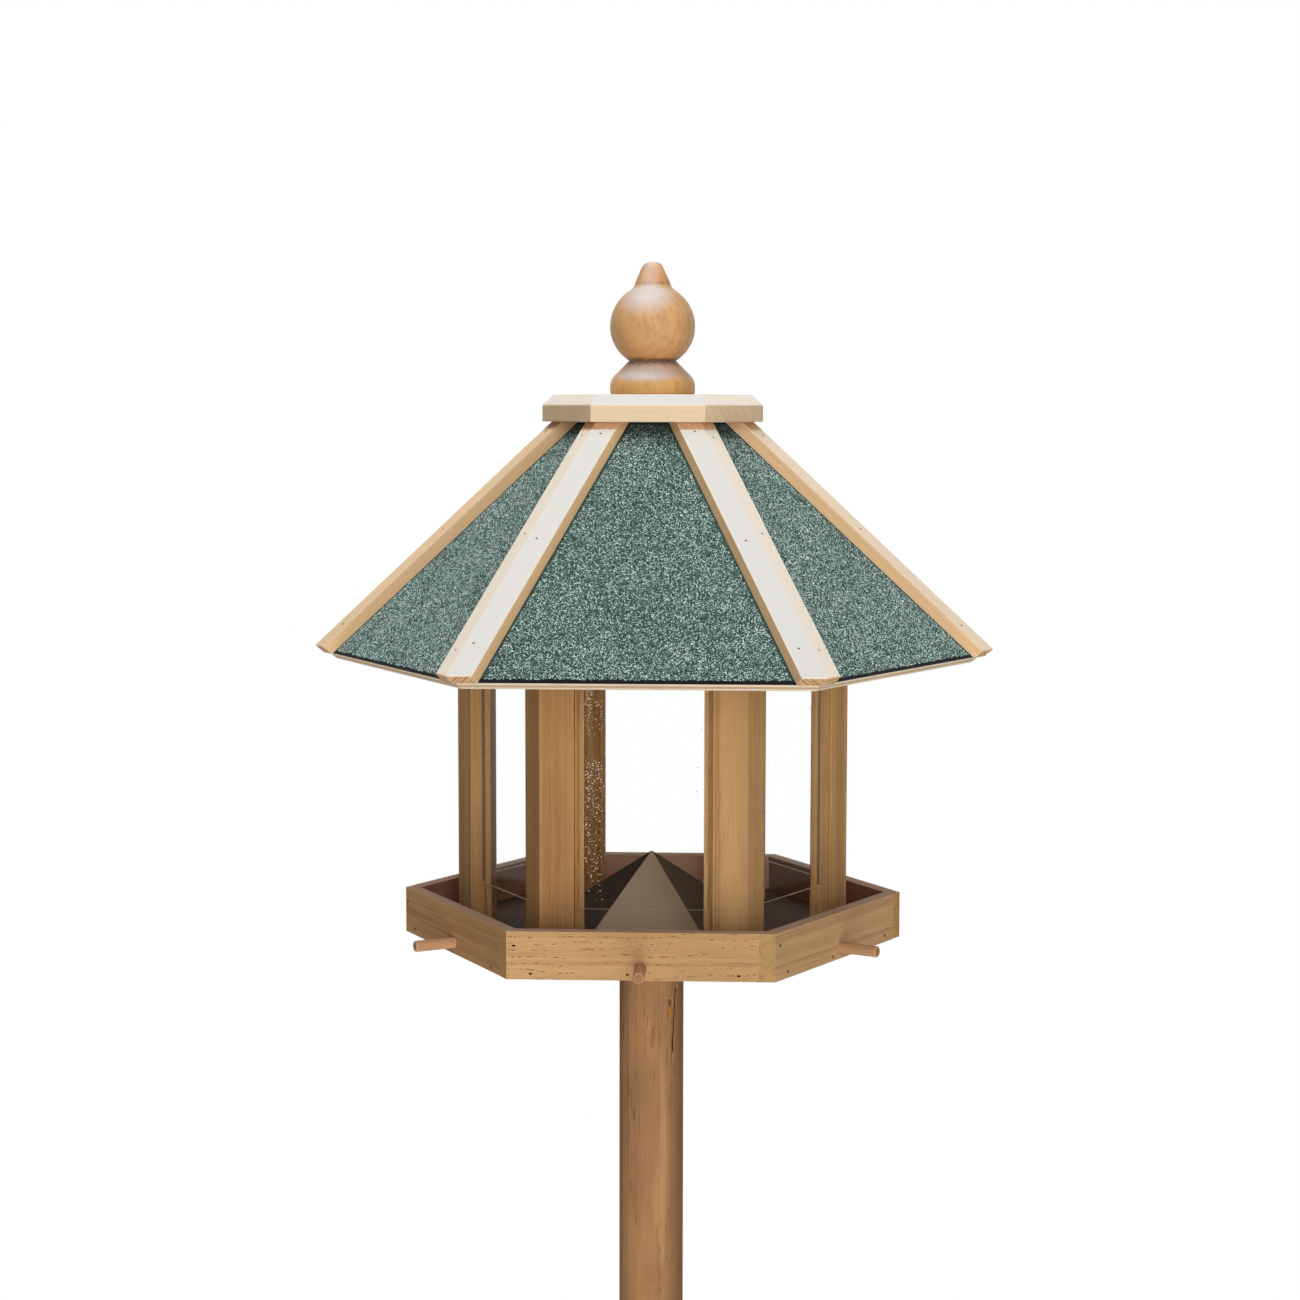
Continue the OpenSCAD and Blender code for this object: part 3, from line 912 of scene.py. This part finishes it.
# brads in the battens and tray boards, as small heads set at points
bradParts = {
    "batten": (0.0011, 0.0008), "tray": (0.0018, 0.0008), "proud": 0.00025,
    "battenRow": (0.065, 0.47, 0.885), "slip": 0.004, "stray": 0.0015, "lowRow": (-0.82, -0.097, 0.73),
    "highRow": (-0.945,), "trayFoot": 0.0052, "trayHead": 0.0125, "drift": 0.002,
}


def makeHeadTree():
    w, ins, outs = newPieceTree("bradHeads", {"number": ["Long", "Short", "Proud"]})
    head = w.node("GeometryNodeMeshCylinder", {"Vertices": 10, "Radius": 1.0, "Depth": 1.0},
                  fill_type="NGON")
    size = w.join(ins["Long"], ins["Short"], ins["Proud"])
    shaped = w.node("GeometryNodeTransform", {"Geometry": head.outputs["Mesh"], "Scale": size}).outputs[0]
    aim = w.node("GeometryNodeInputNamedAttribute", {"Name": "aim"}, data_type="FLOAT_VECTOR").outputs[0]
    upright = w.node("FunctionNodeAlignRotationToVector", {"Vector": aim}, axis="Z").outputs[0]
    heads = w.node("GeometryNodeInstanceOnPoints",
                   {"Points": ins["Geometry"], "Instance": shaped, "Rotation": upright})
    return endTree(w, heads, ins["Finish"], outs[0])


def bradSpotsOnBattens():
    spots, normals = [], []
    for corner in sides:
        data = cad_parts[f"hip_batten_{corner}"].data
        run = hipWay[corner]
        for side in (corner, corner % 6 + 1):
            out = slopeOut[side]
            facets = [face for face in data.polygons if face.normal.dot(out) > faceKinds["slope"]]
            corners = {data.vertices[v].co.to_tuple(6) for face in facets for v in face.vertices}
            facet = [Vector(c) for c in corners]
            across = out.cross(run).normalized()
            span = [point.dot(run) for point in facet]
            middleLine = sum(point.dot(across) for point in facet) / len(facet)
            plane = sum(point.dot(out) for point in facet) / len(facet)
            top, tip = min(span), max(span)
            for share in bradParts["battenRow"]:
                slip = bradParts["slip"] * math.sin(7.3 * corner + 3.1 * side + 9 * share)
                stray = bradParts["stray"] * math.sin(5.1 * corner + 1.7 * side + 11 * share)
                travel = top + (tip - top) * share + slip
                spots.append(run * travel + across * (middleLine + stray) + out * plane)
                normals.append(out)
    return spots, normals


def bradSpotsOnTray():
    spots, normals = [], []
    reach = -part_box("tray_board_1")[0].y
    half = reach / math.sqrt(3)
    rows = [(share, trayLow + bradParts["trayFoot"]) for share in bradParts["lowRow"]]
    rows += [(share, rimZ - bradParts["trayHead"]) for share in bradParts["highRow"]]
    for side in sides:
        along, outward = sideAxes(side)
        for share, level in rows:
            drift = bradParts["drift"] * math.sin(9 * side + 11 * share) * (side > 1)
            spots.append(outward * reach + along * (share * half + drift) + upAxis * (level + 0.6 * drift))
            normals.append(outward)
    return spots, normals


def setBrads():
    tree = makeHeadTree()
    rust = newMaterial("rustedHead", 0.7, colour=linear(138, 84, 62))[0]
    dark = newMaterial("darkHead", 0.8, gloss=0.08, colour=linear(34, 20, 14))[0]
    for name, (spots, normals), (long, short), finish in (
        ("battenBrads", bradSpotsOnBattens(), bradParts["batten"], rust),
        ("trayBrads", bradSpotsOnTray(), bradParts["tray"], dark),
    ):
        values = {"Long": long, "Short": short, "Proud": 2 * bradParts["proud"], "Finish": finish}
        piece = settle(holderMesh(name, spots, [], normals), tree, values, name)
        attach(piece, "feeder")


setBrads()
print("brads set")

# clear panes with rubbed edges, and pale dust on both faces
paneParts = {
    "edge": 0.0003, "broad": 0.95, "speck": 0.00062, "sizes": (0.35, 1.35), "sizeSeed": 5,
    "cloud": (0.36, 0.66), "perArea": {1: 230000.0}, "fewer": 9000.0, "strip": 0.0195, "hidden": 0.006,
    "foot": 0.02, "washed": 0.045, "footShare": 0.15, "washedShare": 0.12, "paintedHighlightFoot": (0.0005, 0.001),
}


def makeAcrylic():
    material, w, shader = newMaterial("clearAcrylic", 0.02, 1.07, 0.5, (0.995, 1.0, 0.998, 1.0))
    shader.inputs["Specular Tint"].default_value = (0.16, 0.16, 0.16, 1.0)
    shader.inputs["Transmission Weight"].default_value = 1.0
    path = w.node("ShaderNodeLightPath").outputs
    clear = w.node("ShaderNodeBsdfTransparent").outputs[0]
    w.overlay(shader.outputs[0], [(path["Is Diffuse Ray"], clear), (path["Is Shadow Ray"], clear)])
    return material


def makeSawnEdge():
    # the frosted edge that a saw leaves on clear sheet
    material, w, shader = newMaterial("sawnAcrylic", 0.45, 1.49, 0.1)
    place = w.place()
    marks = w.noise(place, 900.0, 2.0)
    colour = w.blend(w.ramp(marks, 0.3, 0.7), (98, 84, 66), (128, 114, 94))
    # painted highlight: the lowest millimetre of the sawn edge is painted pale, a thin line of light along
    # the foot of the pane
    foot, (low, high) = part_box("pane_1")[0].z, paneParts["paintedHighlightFoot"]
    pale = w.ramp(w.split(place)[2], foot + low, foot + high, 1.0, 0.0)
    w.coat(shader, w.blend(pale, colour, (190, 178, 160)), marks, 0.0002)
    return material


def makeDustTree():
    sizes = ["Speck", "PerArea", "Half", "Foot", "Strip", "Washed"]
    w, ins, outs = newPieceTree("paneDust", {"number": sizes, "vector": ["Along"], "count": ["Seed"]})
    cloud = w.node("ShaderNodeTexNoise", {"Scale": 30.0, "Detail": 3.0, "W": ins["Seed"]},
                   noise_dimensions="4D")
    dense = w.ramp(cloud.outputs[0], *paneParts["cloud"], smooth=False)
    # most of it hangs beside one post, and some near the foot
    place = w.node("GeometryNodeInputPosition").outputs[0]
    away = w.minus(ins["Half"], w.vector("DOT_PRODUCT", place, ins["Along"]))
    beside = w.ramp(away, 0.0, ins["Strip"], 1.0, 0.0, smooth=False)
    beside = w.times(beside, w.math("GREATER_THAN", away, 0.0))
    height = w.split(place)[2]
    lower = w.ramp(height, ins["Foot"], trayLow, 0.0, paneParts["footShare"], smooth=False)
    clean = w.ramp(height, ins["Foot"], ins["Washed"], paneParts["washedShare"], 1.0, smooth=False)
    amount = w.times(w.times(w.times(dense, ins["PerArea"]), clean), w.math("MAXIMUM", beside, lower))
    fine = w.node("GeometryNodeSubdivideMesh", {"Mesh": ins["Geometry"], "Level": 6}).outputs[0]
    spots = w.node("GeometryNodeDistributePointsOnFaces",
                   {"Mesh": fine, "Density": amount, "Seed": ins["Seed"]}).outputs
    ball = w.node("GeometryNodeMeshUVSphere", {"Segments": 5, "Rings": 2, "Radius": ins["Speck"]})
    speck = w.node("GeometryNodeTransform", {"Geometry": ball.outputs["Mesh"], "Scale": (1.0, 0.8, 0.3)})
    specks = w.node("GeometryNodeInstanceOnPoints",
                    {"Points": spots["Points"], "Instance": speck.outputs[0], "Rotation": spots["Rotation"],
                     "Scale": randomNumber(w, paneParts["sizeSeed"], *paneParts["sizes"])})
    return endTree(w, specks, ins["Finish"], outs[0])


def glaze():
    acrylic, sawn, tree = makeAcrylic(), makeSawnEdge(), makeDustTree()
    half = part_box("pane_1")[1].x
    dust, w, shader = newMaterial("paleDust", 0.8)
    mottled = w.blend(w.noise(w.place(), 300.0), (204, 172, 138), (246, 226, 200))
    w.plug(mottled, shader.inputs["Base Color"])
    for side in sides:
        along, outward = sideAxes(side)
        node = f"pane_{side}"
        piece = solidCopy(node, f"pane{side}", paneParts["edge"])
        piece.data.materials.append(acrylic)
        piece.data.materials.append(sawn)
        for face in piece.data.polygons:
            face.material_index = 0 if abs(face.normal.dot(outward)) > paneParts["broad"] else 1
        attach(piece, "feeder")
        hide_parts(node)
        points, faces = [], []
        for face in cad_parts[node].data.polygons:
            if abs(face.normal.dot(outward)) > paneParts["broad"]:
                faces.append(range(len(points), len(points) + len(face.vertices)))
                points += [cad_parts[node].data.vertices[v].co.copy() for v in face.vertices]
        dustPiece = settle(holderMesh(f"dustHolder{side}", points, faces), tree, {
            "Speck": paneParts["speck"], "PerArea": paneParts["perArea"].get(side, paneParts["fewer"]),
            "Half": half - paneParts["hidden"], "Foot": rimZ + paneParts["foot"],
            "Strip": paneParts["strip"], "Washed": rimZ + paneParts["washed"], "Along": -along, "Seed": side,
            "Finish": dust,
        }, f"paneDust{side}")
        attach(dustPiece, "feeder")


glaze()
print("panes and dust made")


# a pale floor that keeps the feeder's shadow and runs out to white
floorLook = {"half": 6.0, "shadowTo": 0.35, "whiteFrom": 1.3, "lift": 0.55, "colour": (236, 236, 236)}


def seenWhite(w):
    # rays that show the white surroundings: straight to the eye, off gloss or through clear sheet
    path = w.node("ShaderNodeLightPath").outputs
    seen = w.math("MAXIMUM", path["Is Camera Ray"], path["Is Glossy Ray"])
    return w.math("MAXIMUM", seen, path["Is Transmission Ray"])


def makeFloor():
    data = bpy.data.meshes.new("floor")
    half = floorLook["half"]
    corners = [(-half, -half, 0), (half, -half, 0), (half, half, 0), (-half, half, 0)]
    data.from_pydata(corners, [], [(0, 1, 2, 3)])
    obj = newObject("floor", data)
    material, w, shader = newMaterial("floorPaper", 0.9, colour=linear(*floorLook["colour"]))
    path = w.node("ShaderNodeLightPath").outputs
    glow, clear = w.node("ShaderNodeEmission").outputs[0], w.node("ShaderNodeBsdfTransparent").outputs[0]
    away = w.vector("LENGTH", w.place())
    far = w.ramp(away, floorLook["shadowTo"], floorLook["whiteFrom"], floorLook["lift"])
    through = w.math("MAXIMUM", path["Is Diffuse Ray"], path["Is Shadow Ray"])
    w.overlay(shader.outputs[0], [(w.times(seenWhite(w), far), glow), (through, clear)])
    data.materials.append(material)


# soft studio light: tall panels in front and behind, reaching below the table, and an open sky above
lamp = {"at": (-0.5, -0.3, 4.2), "size": 1.6, "watts": 42, "aimAboveRim": 0.25}
panels = {
    "front": {"power": 3.15, "turn": 11, "edge": 0.86, "low": (-0.95, -0.65), "high": (0.25, 0.75)},
    "rear": {"power": 1.5, "turn": 180, "edge": 0.88, "low": (-0.95, -0.5), "high": (0.0, 0.4)},
}
sky = {"power": 1.0, "low": 0.6, "full": 0.9, "around": 0.02, "tint": (0.98, 0.995, 1.03, 1)}
ground = {"power": 0.8, "low": -0.9, "full": -0.75}


def panelGlow(w, way, panel):
    x, y, z = w.split(way)
    level = w.math("SQRT", w.plus(w.times(x, x), w.times(y, y)))
    turn = math.radians(panel["turn"])
    facing = w.vector("DOT_PRODUCT", way, Vector((math.sin(turn), -math.cos(turn), 0)))
    across = w.ramp(w.over(facing, level), panel["edge"], 1.0, 0.0, panel["power"])
    lower, upper = w.ramp(z, *panel["low"]), w.ramp(z, *panel["high"], 1.0, 0.0)
    return w.times(across, w.times(lower, upper))


def makeLight():
    data = bpy.data.lights.new("topLamp", "AREA")
    data.shape, data.size, data.energy = "DISK", lamp["size"], lamp["watts"]
    obj = newObject("topLamp", data)
    obj.location = lamp["at"]
    aim = upAxis * (rimZ + lamp["aimAboveRim"]) - obj.location
    obj.rotation_euler = aim.to_track_quat("-Z", "Y").to_euler()
    world = bpy.data.worlds.new("air")
    bpy.context.scene.world = world
    world.use_nodes = True
    w = Wires(world.node_tree)
    way = w.node("ShaderNodeTexCoord").outputs["Generated"]
    overhead = w.ramp(w.split(way)[2], sky["low"], sky["full"], sky["around"], sky["power"])
    below = w.ramp(w.split(way)[2], ground["low"], ground["full"], ground["power"], 0.0)
    front, rear = [panelGlow(w, way, panel) for panel in panels.values()]
    glow = w.plus(w.plus(overhead, w.plus(front, rear)), below)
    back, white = w.tree.nodes["Background"].inputs, (1, 1, 1, 1)
    w.plug(w.ramp(seenWhite(w), 0.0, 1.0, glow, 1.0, smooth=False), back["Strength"])
    tint = w.blend(w.over(front, glow, clamp=True), sky["tint"], white)
    w.plug(w.blend(seenWhite(w), tint, white), back["Color"])


# the camera stands a little to the right of the front, above the tray, tilted down
shot = {
    "lens": 70.98, "away": 2.3624, "azimuth": 2.728, "pan": 0.047, "aboveRim": 0.4448, "tilt": 5.328,
    "roll": 0.0925,
}


def makeCamera():
    data = bpy.data.cameras.new("camera")
    data.sensor_width, data.lens = 36, shot["lens"]
    obj = newObject("camera", data)
    turn = math.radians(shot["azimuth"])
    heading = turn + math.radians(shot["pan"])
    spin = Matrix.Rotation(heading, 4, "Z") @ Matrix.Rotation(math.radians(90 - shot["tilt"]), 4, "X")
    spin = spin @ Matrix.Rotation(math.radians(shot["roll"]), 4, "Z")
    place = Vector((shot["away"] * math.sin(turn), -shot["away"] * math.cos(turn), rimZ + shot["aboveRim"]))
    obj.matrix_world = Matrix.Translation(place) @ spin
    bpy.context.scene.camera = obj


makeFloor()
makeLight()
makeCamera()
bpy.context.scene.view_settings.view_transform = "Standard"
print("stage, light and camera made")
